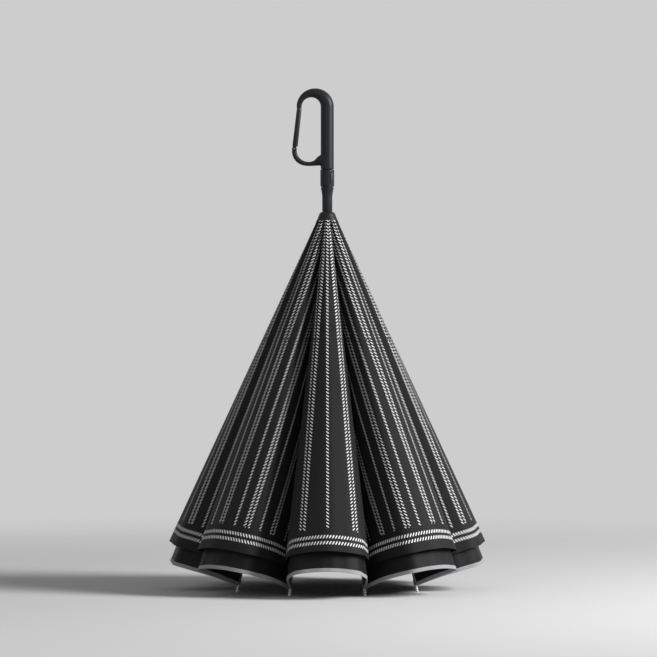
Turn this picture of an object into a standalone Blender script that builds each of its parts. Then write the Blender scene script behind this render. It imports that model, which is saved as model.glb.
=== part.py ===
"""Reverse-folding umbrella with a carabiner handle, folded and standing on its rib tips.

Metres, +Z up. The shaft lies on the Z axis and the rib tips stand on z = 0. The loop of the
handle points to -X and the front is -Y. Folded, the runner holds the rib roots just below the
handle, and the crown with the stretchers sits at the low end of the shaft. The canopy is eight
panels. Each half panel is a flank, which turns about its rib, and a crest, which turns about
the flank's far edge. All edges of a panel meet at one point of the axis, the apex.
"""
import math

import bmesh
import bpy
from mathutils import Matrix, Vector

# Clearances
SEAM = 0.0003
PIN_CLEARANCE = 0.0002
OVERRUN = 0.003

# Frame
RIB_COUNT = 8
TIP_CIRCLE_RADIUS = 0.154
PIVOT_RADIUS = 0.008
PIVOT_HEIGHT = 0.5829
CROWN_PIVOT_HEIGHT = 0.040
OPEN_PIVOT_GAP = 0.046
OPEN_RIB_ANGLE = math.radians(116)

# Ribs and stretchers
RIB_RADIUS = 0.0016
EYE_RADIUS = 0.0018
TIP_RADIUS = 0.0021
TIP_LENGTH = 0.011
TIP_SHOULDER = 0.0006
STRETCHER_RADIUS = 0.0014
STRETCHER_ROOT = 0.014
STRETCHER_CRANK = 0.030

# Shaft, runner hub and crown
SHAFT_RADIUS = 0.0045
HUB_WALL = 0.0011
HUB_RIM = 0.0012
HUB_ABOVE_PIVOT = 0.0020
HUB_BELOW_PIVOT = 0.0034
RING_WIRE_RADIUS = 0.00045
CROWN_SOCKET_DEPTH = 0.008
FERRULE_LENGTH = 0.0066
FERRULE_RADIUS = 0.0068
FERRULE_TIP_RADIUS = 0.0040
FERRULE_ROUNDING = 0.0030

# Runner sleeve and cap
CAP_RIM_ABOVE_PIVOT = 0.0065
CAP_RIM_RADIUS = 0.0163
CAP_SHOULDER_RADIUS = 0.0131
CAP_SHOULDER_HEIGHT = 0.0086
CAP_HEIGHT = 0.0137
CAP_WALL = 0.0011
NECK_RADIUS = 0.0078
NECK_LENGTH = 0.0198
SLEEVE_TOP_RADIUS = 0.0100
SLEEVE_TAPER = 0.0168

# Collar and push button
COLLAR_RADIUS = 0.0109
COLLAR_HEIGHT = 0.0280
COLLAR_FOOT_HEIGHT = 0.0016
COLLAR_FOOT_INSET = 0.0009
COLLAR_EDGE = 0.0005
BUTTON_WIDTH = 0.0060
BUTTON_HEIGHT = 0.0198
BUTTON_PROUD = 0.0009
BUTTON_DEPTH = 0.0040
BUTTON_TRAVEL = 0.0012
BUTTON_EDGE = 0.0004
BUTTON_BEARING = math.radians(-47)

# Handle loop
GRIP_WIDTH = 0.0205
LOOP_OUTER_RADIUS = 0.02885
LOOP_INNER_RADIUS = 0.01515
ARC_HEIGHT = 0.0998
HOOK_END_ANGLE = math.radians(173)
HOOK_END_RUN = 0.006
GRIP_FOOT_EDGE = 0.0012
ARM_THICKNESS = 0.0066
ARM_ROOT_THICKNESS = 0.0108
ARM_ROOT_RUN = 0.010
ARM_RISE = 0.0088
ARM_CORNER_RADIUS = 0.0138

# Gate
GATE_PIVOT_RISE = 0.023905
GATE_THICKNESS = 0.0070
KNUCKLE_RADIUS = 0.0038
KNUCKLE_WIDTH = 0.0074
TONGUE_THICKNESS = 0.0028
TONGUE_RADIUS = 0.0032
GATE_PIN_RADIUS = 0.0010

# Canopy
CREST_REACH_SHARE = 1.6208
LOBE_CENTRE_SHARE = 0.768
LOBE_WIDTH_SHARE = 0.2684
LOBE_CURVE_SHARE = 0.87
FOLD_TURN = math.radians(48)
TUCK_REACH_SHARE = 0.66
TUCK_WIDTH_SHARE = 0.222
PATTERN_HEM_AT_RIB = 0.056
PATTERN_HEM_AT_CREST = 0.079
PLAIN_HEM_AT_RIB = 0.014
PLAIN_HEM_AT_CREST = 0.0474
CANOPY_START_ABOVE_PIVOT = 0.0014
PATTERN_LAYER = 0.0006
PLAIN_LAYER = 0.0006
START_THICKNESS = 0.0003
PLAIN_DRAW_IN = 0.014
VALLEY_INSET = 0.0005

# Facets
TURN_STEPS = 32
ARC_STEPS = 16
CORNER_STEPS = 6

# Heights along the shaft
rim_height = PIVOT_HEIGHT + CAP_RIM_ABOVE_PIVOT
cap_top = rim_height + CAP_HEIGHT
neck_bottom = cap_top + SEAM
neck_top = neck_bottom + NECK_LENGTH
sleeve_top = neck_top + SLEEVE_TAPER
collar_bottom = sleeve_top + SEAM
collar_top = collar_bottom + COLLAR_HEIGHT
handle_base = collar_top + SEAM
arc_height = handle_base + ARC_HEIGHT

# Rib and stretcher linkage
half_pitch = math.pi / RIB_COUNT
rib_angle = math.atan2(TIP_CIRCLE_RADIUS - PIVOT_RADIUS, PIVOT_HEIGHT)
folded_gap = PIVOT_HEIGHT - CROWN_PIVOT_HEIGHT
joint_reach = (folded_gap**2 - OPEN_PIVOT_GAP**2) / (
    2 * (folded_gap * math.cos(rib_angle) - OPEN_PIVOT_GAP * math.cos(OPEN_RIB_ANGLE))
)
stretcher_length = math.hypot(
    folded_gap - joint_reach * math.cos(rib_angle), joint_reach * math.sin(rib_angle)
)
stretcher_angle = math.asin(joint_reach * math.sin(rib_angle) / stretcher_length)
stretcher_offset = RIB_RADIUS + STRETCHER_RADIUS + SEAM

# Canopy edges, as directions from the apex that drop by one for each unit of depth
standoff = RIB_RADIUS + SEAM
apex_height = PIVOT_HEIGHT + (PIVOT_RADIUS + standoff / math.cos(rib_angle)) / math.tan(rib_angle)
canopy_start = PIVOT_HEIGHT + CANOPY_START_ABOVE_PIVOT
both_layers = PATTERN_LAYER + PLAIN_LAYER
crest_depth = apex_height - PATTERN_HEM_AT_CREST
crest_hem_radius = TIP_CIRCLE_RADIUS * CREST_REACH_SHARE
crest_slope = crest_hem_radius / crest_depth
panel_out = Vector((math.cos(half_pitch), math.sin(half_pitch), 0))
panel_side = Vector((-math.sin(half_pitch), math.cos(half_pitch), 0))


def panel_direction(across, outward):
    """Direction from the apex, in a rib's frame, of a point of the panel on the rib's +Y side."""
    return panel_out * outward + panel_side * across - Vector((0, 0, 1))


def lobe_direction(turn):
    """Direction of a point of the rounded lobe, from its crest at no turn to its side at a quarter."""
    centre = crest_slope * LOBE_CENTRE_SHARE
    outward = centre + (crest_slope - centre) * math.cos(turn) ** LOBE_CURVE_SHARE
    return panel_direction(-crest_slope * LOBE_WIDTH_SHARE * math.sin(turn) ** LOBE_CURVE_SHARE, outward)


rib_line = Vector((math.tan(rib_angle), 0, -1))
side_line = panel_direction(-crest_slope * LOBE_WIDTH_SHARE, crest_slope * LOBE_CENTRE_SHARE)
shoulder_line = lobe_direction((FOLD_TURN + math.pi / 2) / 2)
fold_line = lobe_direction(FOLD_TURN)
brow_line = lobe_direction(FOLD_TURN / 2)
crest_line = panel_direction(0, crest_slope)
tuck_line = panel_direction(crest_slope * TUCK_WIDTH_SHARE, crest_slope * TUCK_REACH_SHARE)


# Scene, materials and small tools

for old in list(bpy.data.objects):
    bpy.data.objects.remove(old)

umbrella = bpy.data.collections.new("reverse_umbrella")
cutters = bpy.data.collections.new("cutters")
bpy.context.scene.collection.children.link(umbrella)
bpy.context.scene.collection.children.link(cutters)


def material(name, colour, roughness, metallic=0.0):
    """A Principled material of one colour."""
    made = bpy.data.materials.new(name)
    made.use_nodes = True
    shader = made.node_tree.nodes["Principled BSDF"]
    shader.inputs["Base Color"].default_value = (*colour, 1)
    shader.inputs["Roughness"].default_value = roughness
    shader.inputs["Metallic"].default_value = metallic
    return made


def add_object(name, mesh, collection=umbrella):
    """Link a new object that shows the mesh."""
    made = bpy.data.objects.new(name, mesh)
    collection.objects.link(made)
    return made


def finish(piece, look, smooth_angle=math.radians(40)):
    """Give a piece its material and smooth shading with sharp edges."""
    piece.data.materials.clear()
    piece.data.materials.append(look)
    piece.data.shade_smooth()
    piece.data.set_sharp_from_angle(angle=smooth_angle)
    return piece


def as_cutter(piece):
    """Move a piece to the cutters, seen as wire."""
    for holder in list(piece.users_collection):
        holder.objects.unlink(piece)
    cutters.objects.link(piece)
    piece.hide_render = True
    piece.display_type = "WIRE"
    return piece


def baked(piece):
    """Replace a piece's mesh with the one its modifiers give."""
    bpy.context.view_layer.update()
    graph = bpy.context.evaluated_depsgraph_get()
    mesh = bpy.data.meshes.new_from_object(piece.evaluated_get(graph))
    piece.modifiers.clear()
    piece.data = mesh
    return piece


def boolean(piece, other, operation):
    """Join or cut a piece with another, which is used up."""
    bpy.context.view_layer.update()
    change = piece.modifiers.new(operation.lower(), "BOOLEAN")
    change.operation = operation
    change.object = other
    baked(piece)
    bpy.data.objects.remove(other)
    return piece


def tube(name, points, radii, resolution=3):
    """A mesh tube along points, with a radius at each and closed ends."""
    widest = max(radii)
    curve = bpy.data.curves.new(name, "CURVE")
    curve.dimensions = "3D"
    curve.bevel_depth = widest
    curve.bevel_resolution = resolution
    curve.use_fill_caps = True
    line = curve.splines.new("POLY")
    line.points.add(len(points) - 1)
    for point, place, radius in zip(line.points, points, radii):
        point.co = (*place, 1)
        point.radius = radius / widest
    drawn = add_object(name + "_curve", curve)
    bpy.context.view_layer.update()
    graph = bpy.context.evaluated_depsgraph_get()
    mesh = bpy.data.meshes.new_from_object(drawn.evaluated_get(graph))
    bpy.data.objects.remove(drawn)
    work = bmesh.new()
    work.from_mesh(mesh)
    bmesh.ops.remove_doubles(work, verts=work.verts, dist=SEAM / 10)
    bmesh.ops.recalc_face_normals(work, faces=work.faces)
    work.to_mesh(mesh)
    work.free()
    return add_object(name, mesh)


def cylinder(name, radius, length, place, along="Z", steps=TURN_STEPS):
    """A cylinder centred at a place, with its axis along X, Y or Z."""
    turns = {"X": Matrix.Rotation(math.pi / 2, 4, "Y"), "Y": Matrix.Rotation(math.pi / 2, 4, "X")}
    mesh = bpy.data.meshes.new(name)
    work = bmesh.new()
    bmesh.ops.create_cone(
        work, cap_ends=True, segments=steps, radius1=radius, radius2=radius, depth=length,
        matrix=Matrix.Translation(place) @ turns.get(along, Matrix()),
    )
    work.to_mesh(mesh)
    work.free()
    return add_object(name, mesh)


def box(name, size, place):
    """A box of a size centred at a place."""
    mesh = bpy.data.meshes.new(name)
    work = bmesh.new()
    bmesh.ops.create_cube(work, size=1, matrix=Matrix.Translation(place) @ Matrix.Diagonal((*size, 1)))
    work.to_mesh(mesh)
    work.free()
    return add_object(name, mesh)


def turned(name, outline, steps=TURN_STEPS, collection=umbrella):
    """A solid of revolution about Z from a closed outline of (radius, height) points."""
    mesh = bpy.data.meshes.new(name)
    work = bmesh.new()
    corners = [work.verts.new((radius, 0, height)) for radius, height in outline]
    for near, far in zip(corners, corners[1:] + corners[:1]):
        work.edges.new((near, far))
    work.to_mesh(mesh)
    work.free()
    made = add_object(name, mesh, collection)
    screw = made.modifiers.new("turn", "SCREW")
    screw.steps = steps
    screw.render_steps = steps
    screw.use_merge_vertices = True
    screw.merge_threshold = SEAM / 10
    return made


def circle_points(centre, radius, start, end, steps):
    """Points of an arc in the XZ plane, ends included."""
    angles = [start + (end - start) * step / steps for step in range(steps + 1)]
    return [centre + Vector((radius * math.cos(a), 0, radius * math.sin(a))) for a in angles]


# Looks of the pieces

PLASTIC = (0.024, 0.025, 0.028)
FABRIC = (0.018, 0.018, 0.021)
STEEL = (0.45, 0.46, 0.48)

# Handle loop: grip, arc that thins towards the gate, and lower arm with the gate's knuckle

grip_radius = GRIP_WIDTH / 2
ring_radius = (LOOP_OUTER_RADIUS + LOOP_INNER_RADIUS) / 2
ring_wall = LOOP_OUTER_RADIUS - LOOP_INNER_RADIUS
arc_centre = Vector((-ring_radius, 0, arc_height))
arm_height = handle_base + ARM_RISE
gate_down = Vector((-math.sin(HOOK_END_ANGLE), 0, math.cos(HOOK_END_ANGLE)))
arc = circle_points(arc_centre, ring_radius, 0, HOOK_END_ANGLE, ARC_STEPS)
hook_end = arc[-1] + gate_down * HOOK_END_RUN
gate_pivot = hook_end + gate_down * ((arm_height + GATE_PIVOT_RISE - hook_end.z) / gate_down.z)
gate_length = (hook_end - gate_pivot).length - SEAM


def arc_radius(angle):
    """Half the bar's thickness at an angle round the arc."""
    return (ring_wall + (GRIP_WIDTH - ring_wall) * math.cos(angle)) / 2


def make_handle_loop():
    """One solid: hook and lower arm joined, slotted and bored for the gate."""
    arc_radii = [arc_radius(HOOK_END_ANGLE * step / ARC_STEPS) for step in range(ARC_STEPS + 1)]
    foot = Vector((0, 0, handle_base))
    rise = Vector((0, 0, GRIP_FOOT_EDGE))
    loop = tube(
        "handle_loop", [foot, foot + rise, *arc, hook_end],
        [grip_radius - GRIP_FOOT_EDGE, grip_radius, *arc_radii, arc_radii[-1]], resolution=6,
    )
    corner_centre = Vector((gate_pivot.x + ARM_CORNER_RADIUS, 0, arm_height + ARM_CORNER_RADIUS))
    corner = circle_points(corner_centre, ARM_CORNER_RADIUS, -math.pi / 2, -math.pi, CORNER_STEPS)
    thin = ARM_THICKNESS / 2
    thick = ARM_ROOT_THICKNESS / 2
    arm = tube(
        "arm",
        [Vector((0, 0, arm_height)), Vector((-grip_radius, 0, arm_height)),
         Vector((-grip_radius - ARM_ROOT_RUN / 2, 0, arm_height)),
         Vector((-grip_radius - ARM_ROOT_RUN, 0, arm_height)), *corner, gate_pivot.copy()],
        [thick, thick, (thick + 3 * thin) / 4, thin, *[thin] * len(corner), thin], resolution=4,
    )
    boolean(loop, arm, "UNION")
    boolean(loop, cylinder("knuckle", KNUCKLE_RADIUS, KNUCKLE_WIDTH, gate_pivot, "Y"), "UNION")
    slot_floor = gate_pivot.z - TONGUE_RADIUS - SEAM
    slot_top = gate_pivot.z + KNUCKLE_RADIUS + OVERRUN
    slot_size = (2 * (KNUCKLE_RADIUS + OVERRUN), TONGUE_THICKNESS + 2 * SEAM, slot_top - slot_floor)
    slot_place = Vector((gate_pivot.x, 0, (slot_top + slot_floor) / 2))
    boolean(loop, box("slot", slot_size, slot_place), "DIFFERENCE")
    bore = cylinder("bore", GATE_PIN_RADIUS + PIN_CLEARANCE, KNUCKLE_WIDTH + OVERRUN, gate_pivot, "Y")
    boolean(loop, bore, "DIFFERENCE")
    finish(loop, material("handle_plastic", PLASTIC, 0.42))


def make_gate():
    """The sprung bar that closes the loop, with its origin on the pivot."""
    origin = Vector((0, 0, 0))
    bar_start = Vector((0, 0, KNUCKLE_RADIUS + SEAM))
    bar_end = Vector((0, 0, gate_length))
    radius = GATE_THICKNESS / 2
    gate = tube("gate", [bar_start, bar_end], [radius, radius], resolution=6)
    tongue_length = KNUCKLE_RADIUS + radius
    tongue_size = (2 * TONGUE_RADIUS, TONGUE_THICKNESS, tongue_length)
    boolean(gate, box("tongue", tongue_size, Vector((0, 0, tongue_length / 2))), "UNION")
    boolean(gate, cylinder("eye", TONGUE_RADIUS, TONGUE_THICKNESS, origin, "Y"), "UNION")
    bore_radius = GATE_PIN_RADIUS + PIN_CLEARANCE
    boolean(gate, cylinder("bore", bore_radius, TONGUE_THICKNESS + OVERRUN, origin, "Y"), "DIFFERENCE")
    gate.location = gate_pivot
    gate.rotation_euler.y = math.atan2(-gate_down.x, -gate_down.z)
    finish(gate, material("gate_plastic", PLASTIC, 0.42))


def make_gate_pin():
    """The pin across the knuckle, flush with its cheeks."""
    pin = cylinder("gate_pin", GATE_PIN_RADIUS, KNUCKLE_WIDTH, Vector((0, 0, 0)), "Y", TURN_STEPS // 2)
    pin.location = gate_pivot
    finish(pin, material("gate_pin_steel", STEEL, 0.3, 1.0))


# Collar and push button

def stadium(name, width, height, depth, place, bearing, edge=0.0):
    """An upright plate with round ends whose front faces outward at a bearing."""
    radius = width / 2
    straight = height / 2 - radius
    steps = CORNER_STEPS * 2
    turns = [math.pi * step / steps for step in range(steps + 1)]
    outline = [
        Vector((0, radius * math.cos(turn), straight + radius * math.sin(turn))) for turn in turns
    ]
    outline += [Vector((0, -point.y, -point.z)) for point in outline]
    curve = bpy.data.curves.new(name, "CURVE")
    curve.dimensions = "2D"
    curve.fill_mode = "BOTH"
    curve.extrude = depth / 2
    line = curve.splines.new("POLY")
    line.points.add(len(outline) - 1)
    line.use_cyclic_u = True
    for point, corner in zip(line.points, outline):
        point.co = (corner.y, corner.z, 0, 1)
    drawn = add_object(name + "_curve", curve)
    bpy.context.view_layer.update()
    mesh = bpy.data.meshes.new_from_object(drawn.evaluated_get(bpy.context.evaluated_depsgraph_get()))
    bpy.data.objects.remove(drawn)
    work = bmesh.new()
    work.from_mesh(mesh)
    bmesh.ops.remove_doubles(work, verts=work.verts, dist=SEAM / 10)
    bmesh.ops.transform(work, verts=work.verts, matrix=Matrix.Rotation(math.pi / 2, 4, "X"))
    bmesh.ops.transform(work, verts=work.verts, matrix=Matrix.Rotation(math.pi / 2, 4, "Z"))
    bmesh.ops.recalc_face_normals(work, faces=work.faces)
    work.to_mesh(mesh)
    work.free()
    made = add_object(name, mesh)
    if edge:
        bevel = made.modifiers.new("edge", "BEVEL")
        bevel.width = edge
        bevel.segments = 2
        baked(made)
    made.location = place
    made.rotation_euler.z = bearing
    return made


collar_middle = (collar_bottom + collar_top) / 2
button_out = Vector((math.cos(BUTTON_BEARING), math.sin(BUTTON_BEARING), 0))
button_front = COLLAR_RADIUS + BUTTON_PROUD
button_place = button_out * (button_front - BUTTON_DEPTH / 2) + Vector((0, 0, collar_middle))


def make_collar():
    """A turned collar with a narrower foot and a pocket for the button."""
    bore = SHAFT_RADIUS + SEAM
    outline = [
        (bore, collar_top),
        (COLLAR_RADIUS - COLLAR_EDGE, collar_top),
        (COLLAR_RADIUS, collar_top - COLLAR_EDGE),
        (COLLAR_RADIUS, collar_bottom + COLLAR_FOOT_HEIGHT),
        (COLLAR_RADIUS - COLLAR_FOOT_INSET, collar_bottom + COLLAR_FOOT_HEIGHT - COLLAR_EDGE),
        (COLLAR_RADIUS - COLLAR_FOOT_INSET, collar_bottom),
        (bore, collar_bottom),
    ]
    collar = turned("collar", outline)
    pocket_depth = BUTTON_DEPTH + BUTTON_TRAVEL + SEAM
    pocket_place = button_out * (button_front + OVERRUN - (pocket_depth + OVERRUN) / 2)
    pocket_place.z = collar_middle
    pocket = stadium(
        "pocket", BUTTON_WIDTH + 2 * SEAM, BUTTON_HEIGHT + 2 * SEAM, pocket_depth + OVERRUN,
        pocket_place, BUTTON_BEARING,
    )
    as_cutter(pocket)
    cut = collar.modifiers.new("pocket", "BOOLEAN")
    cut.object = pocket
    finish(collar, material("collar_plastic", PLASTIC, 0.36))


def make_button():
    """The push button, proud of the collar."""
    button = stadium(
        "push_button", BUTTON_WIDTH, BUTTON_HEIGHT, BUTTON_DEPTH, button_place, BUTTON_BEARING,
        BUTTON_EDGE,
    )
    finish(button, material("button_plastic", PLASTIC, 0.3))


# Shaft, runner and crown

hub_bore = SHAFT_RADIUS + SEAM
hub_core = hub_bore + HUB_WALL
hub_radius = PIVOT_RADIUS + HUB_RIM
crown_bottom = CROWN_PIVOT_HEIGHT - HUB_BELOW_PIVOT - FERRULE_LENGTH
shaft_bottom = CROWN_PIVOT_HEIGHT - CROWN_SOCKET_DEPTH


def make_shaft():
    """The centre tube, from the crown's socket up through the collar."""
    middle = Vector((0, 0, (shaft_bottom + collar_top) / 2))
    shaft = cylinder("shaft", SHAFT_RADIUS, collar_top - shaft_bottom, middle)
    finish(shaft, material("shaft_steel", (0.05, 0.05, 0.055), 0.35, 0.9))


def ring(name, height, wire_radius):
    """A wire ring on the pivot circle."""
    steps = CORNER_STEPS + 2
    wire = [
        (
            PIVOT_RADIUS - wire_radius * math.cos(math.tau * step / steps),
            height + wire_radius * math.sin(math.tau * step / steps),
        )
        for step in range(steps)
    ]
    return turned(name, wire)


def slotted(hub, pivot_height, low, high):
    """Cut a groove for the ring and a slot for each lever into a hub."""
    boolean(hub, baked(ring("groove", pivot_height, RING_WIRE_RADIUS + PIN_CLEARANCE)), "DIFFERENCE")
    reach = hub_radius + OVERRUN
    for number in range(RIB_COUNT):
        size = (reach - hub_core, 2 * (RIB_RADIUS + SEAM), high - low)
        slot = box("slot", size, Vector(((reach + hub_core) / 2, 0, (high + low) / 2)))
        slot.rotation_euler.z = half_pitch * (2 * number + 1)
        boolean(hub, slot, "DIFFERENCE")
    return hub


def make_rib_hub():
    """The runner's ring that carries the ribs, on a neck that reaches up to the sleeve."""
    low = PIVOT_HEIGHT - HUB_BELOW_PIVOT
    high = PIVOT_HEIGHT + HUB_ABOVE_PIVOT
    outline = [
        (hub_bore, cap_top),
        (hub_core, cap_top),
        (hub_core, high),
        (hub_radius, high),
        (hub_radius, low),
        (hub_bore, low),
    ]
    hub = slotted(baked(turned("rib_hub", outline)), PIVOT_HEIGHT, low - OVERRUN, high + OVERRUN)
    finish(hub, material("hub_plastic", PLASTIC, 0.5))
    finish(ring("rib_ring", PIVOT_HEIGHT, RING_WIRE_RADIUS), material("rib_ring_steel", STEEL, 0.3, 1.0))


def make_crown():
    """The fixed ring that carries the stretchers, with the ferrule that ends the shaft."""
    low = CROWN_PIVOT_HEIGHT - HUB_ABOVE_PIVOT
    high = CROWN_PIVOT_HEIGHT + HUB_BELOW_PIVOT
    neck_low = low - HUB_BELOW_PIVOT
    socket_floor = shaft_bottom - SEAM
    outline = [
        (hub_bore, high),
        (hub_radius, high),
        (hub_radius, low),
        (hub_core, low),
        (hub_core, neck_low),
        (FERRULE_RADIUS, neck_low),
        (FERRULE_TIP_RADIUS + FERRULE_ROUNDING / 2, crown_bottom + FERRULE_ROUNDING / 2),
        (FERRULE_TIP_RADIUS, crown_bottom),
        (0, crown_bottom),
        (0, socket_floor),
        (hub_bore, socket_floor),
    ]
    crown = slotted(baked(turned("crown", outline)), CROWN_PIVOT_HEIGHT, low - OVERRUN / 2, high + OVERRUN)
    finish(crown, material("crown_plastic", PLASTIC, 0.5))
    finish(
        ring("crown_ring", CROWN_PIVOT_HEIGHT, RING_WIRE_RADIUS),
        material("crown_ring_steel", STEEL, 0.3, 1.0),
    )


def make_runner_sleeve():
    """The long neck below the collar, wider at its top."""
    bore = SHAFT_RADIUS + SEAM
    waist = (SLEEVE_TOP_RADIUS + 3 * NECK_RADIUS) / 4
    outline = [
        (bore, sleeve_top),
        (SLEEVE_TOP_RADIUS, sleeve_top),
        (waist, neck_top + SLEEVE_TAPER / 2),
        (NECK_RADIUS, neck_top),
        (NECK_RADIUS, neck_bottom),
        (bore, neck_bottom),
    ]
    finish(turned("runner_sleeve", outline), material("sleeve_plastic", PLASTIC, 0.38))


def make_runner_cap():
    """The flared cap over the hub, thin and open below."""
    bore = hub_core + SEAM
    shoulder = rim_height + CAP_SHOULDER_HEIGHT
    outline = [
        (bore, cap_top),
        (NECK_RADIUS, cap_top),
        (CAP_SHOULDER_RADIUS, shoulder),
        (CAP_RIM_RADIUS, rim_height),
        (CAP_RIM_RADIUS - CAP_WALL, rim_height),
        (CAP_SHOULDER_RADIUS - CAP_WALL, shoulder - CAP_WALL),
        (NECK_RADIUS, cap_top - 2 * CAP_WALL),
        (bore, cap_top - 2 * CAP_WALL),
    ]
    finish(turned("runner_cap", outline), material("cap_plastic", PLASTIC, 0.38))


# Ribs and stretchers, each drawn once about its pivot and copied round the shaft

def spread_copies(name, mesh, radius, height, look_name, colour, roughness, metallic=0.0):
    """One object for each rib bearing, all showing one mesh."""
    for number in range(RIB_COUNT):
        bearing = half_pitch * (2 * number + 1)
        copy = add_object(f"{name}_{number + 1}", mesh)
        copy.location = (radius * math.cos(bearing), radius * math.sin(bearing), height)
        copy.rotation_euler.z = bearing
    finish(copy, material(look_name, colour, roughness, metallic))


def lever(name, points, radii):
    """A rod with an eye at its root, bored for the ring it turns on."""
    origin = Vector((0, 0, 0))
    rod = tube(name, points, radii, resolution=2)
    boolean(rod, cylinder("eye", EYE_RADIUS, 2 * RIB_RADIUS, origin, "Y", TURN_STEPS // 2), "UNION")
    bore_radius = RING_WIRE_RADIUS + PIN_CLEARANCE
    bore = cylinder("bore", bore_radius, 2 * RIB_RADIUS + OVERRUN, origin, "Y", TURN_STEPS // 2)
    return boolean(rod, bore, "DIFFERENCE")


def make_ribs():
    """Ribs with thicker end caps, cut flat where they stand."""
    along = Vector((math.sin(rib_angle), 0, -math.cos(rib_angle)))
    length = PIVOT_HEIGHT / math.cos(rib_angle)
    stations = [0, length - TIP_LENGTH - TIP_SHOULDER, length - TIP_LENGTH, length + OVERRUN]
    rib = lever(
        "rib", [along * station for station in stations],
        [RIB_RADIUS, RIB_RADIUS, TIP_RADIUS, TIP_RADIUS],
    )
    work = bmesh.new()
    work.from_mesh(rib.data)
    floor = Vector((0, 0, -PIVOT_HEIGHT))
    everything = [*work.verts, *work.edges, *work.faces]
    cut = bmesh.ops.bisect_plane(
        work, geom=everything, plane_co=floor, plane_no=Vector((0, 0, -1)), clear_outer=True,
        dist=SEAM / 100,
    )
    rim = [edge for edge in cut["geom_cut"] if isinstance(edge, bmesh.types.BMEdge)]
    bmesh.ops.contextual_create(work, geom=rim)
    bmesh.ops.recalc_face_normals(work, faces=work.faces)
    work.to_mesh(rib.data)
    work.free()
    mesh = rib.data
    bpy.data.objects.remove(rib)
    spread_copies("rib", mesh, PIVOT_RADIUS, PIVOT_HEIGHT, "rib_steel", STEEL, 0.4, 0.6)


def make_stretchers():
    """Stretchers cranked aside so that they lie beside their ribs."""
    along = Vector((math.sin(stretcher_angle), 0, math.cos(stretcher_angle)))
    aside = Vector((0, stretcher_offset, 0))
    points = [
        Vector((0, 0, 0)),
        along * STRETCHER_ROOT,
        along * STRETCHER_CRANK + aside,
        along * stretcher_length + aside,
    ]
    stretcher = lever("stretcher", points, [STRETCHER_RADIUS] * len(points))
    mesh = stretcher.data
    bpy.data.objects.remove(stretcher)
    spread_copies("stretcher", mesh, PIVOT_RADIUS, CROWN_PIVOT_HEIGHT, "stretcher_steel", STEEL, 0.4, 0.6)


# Canopy strips, drawn about the apex in the frame of one rib

def inward_normal(near, far):
    """Unit normal of the flat between two edge directions, towards the inside of the panel."""
    return far.cross(near).normalized()


def mitre(first, second):
    """Offset direction at a bend between two flats."""
    return (first + second) / (1 + first.dot(second))


def level_step(near, far, length):
    """A level shift of a length, from one edge direction towards another."""
    step = far - near
    return step.normalized() * length


def inward_steps(edge, near, far, shares):
    """Shifts at the start and below of an edge along a flat, for sheets that grow thicker."""
    return [level_step(near, far, edge + shares * layers) for layers in (START_THICKNESS, both_layers)]


half_panel_path = [rib_line, side_line, shoulder_line, fold_line, brow_line, crest_line]


def path_share(line):
    """How far round the half panel an edge lies, from the rib to the crest."""
    steps = [near.angle(far) for near, far in zip(half_panel_path, half_panel_path[1:])]
    return sum(steps[:half_panel_path.index(line)]) / sum(steps)


def strip_mesh(name, columns, mirrored):
    """Loft a sheet of two layers, the outer one shorter, through columns of edge points."""
    work = bmesh.new()
    rings = []
    for direction, share, normal, (start_shift, shift) in columns:
        pattern_hem = PATTERN_HEM_AT_RIB + (PATTERN_HEM_AT_CREST - PATTERN_HEM_AT_RIB) * share
        plain_hem = PLAIN_HEM_AT_RIB + (PLAIN_HEM_AT_CREST - PLAIN_HEM_AT_RIB) * share
        drawn = shift - panel_out * PLAIN_DRAW_IN * share
        section = [
            (canopy_start, 0, start_shift),
            (pattern_hem, 0, shift),
            (pattern_hem, PATTERN_LAYER, shift),
            (plain_hem, PATTERN_LAYER, drawn),
            (plain_hem, both_layers, drawn),
            (pattern_hem, both_layers, shift),
            (canopy_start, START_THICKNESS, start_shift),
        ]
        points = [
            direction * (apex_height - height) + normal * inward + step
            for height, inward, step in section
        ]
        if mirrored:
            points = [Vector((point.x, -point.y, point.z)) for point in points]
        rings.append([work.verts.new(point) for point in points])
    for near, far in zip(rings, rings[1:]):
        for upper, lower in ((0, 1), (1, 2), (2, 3), (3, 4), (5, 4), (6, 5), (0, 6)):
            work.faces.new((near[upper], near[lower], far[lower]))
            work.faces.new((near[upper], far[lower], far[upper]))
    for start, hem, ledge, plain_out, plain_in, hem_in, start_in in (rings[0], rings[-1]):
        work.faces.new((start, hem, ledge, hem_in, start_in))
        work.faces.new((ledge, plain_out, plain_in, hem_in))
    bmesh.ops.recalc_face_normals(work, faces=work.faces)
    mesh = bpy.data.meshes.new(name)
    work.to_mesh(mesh)
    work.free()
    return mesh


def columns_along(path, shares, first_steps, last_steps):
    """Columns of a strip: mitred at each bend, square at its two edges, which are shifted inward."""
    flats = [inward_normal(near, far) for near, far in zip(path, path[1:])]
    normals = [flats[0]] + [mitre(near, far) for near, far in zip(flats, flats[1:])] + [flats[-1]]
    steps = [first_steps] + [[Vector((0, 0, 0))] * 2] * (len(path) - 2) + [last_steps]
    return list(zip(path, shares, normals, steps))


def fold_slack():
    """Share of the thickness by which the flank and the crest stand back from their shared fold."""
    turn = inward_normal(shoulder_line, fold_line).angle(inward_normal(fold_line, brow_line))
    return math.tan(turn / 2)


def flank_columns():
    """From the valley over the rib round the lobe's side to the fold."""
    path = half_panel_path[:4]
    valley = [level_step(rib_line, side_line, VALLEY_INSET)] * 2
    fold = inward_steps(SEAM / 2, fold_line, shoulder_line, fold_slack())
    return columns_along(path, [path_share(line) for line in path], valley, fold)


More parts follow.
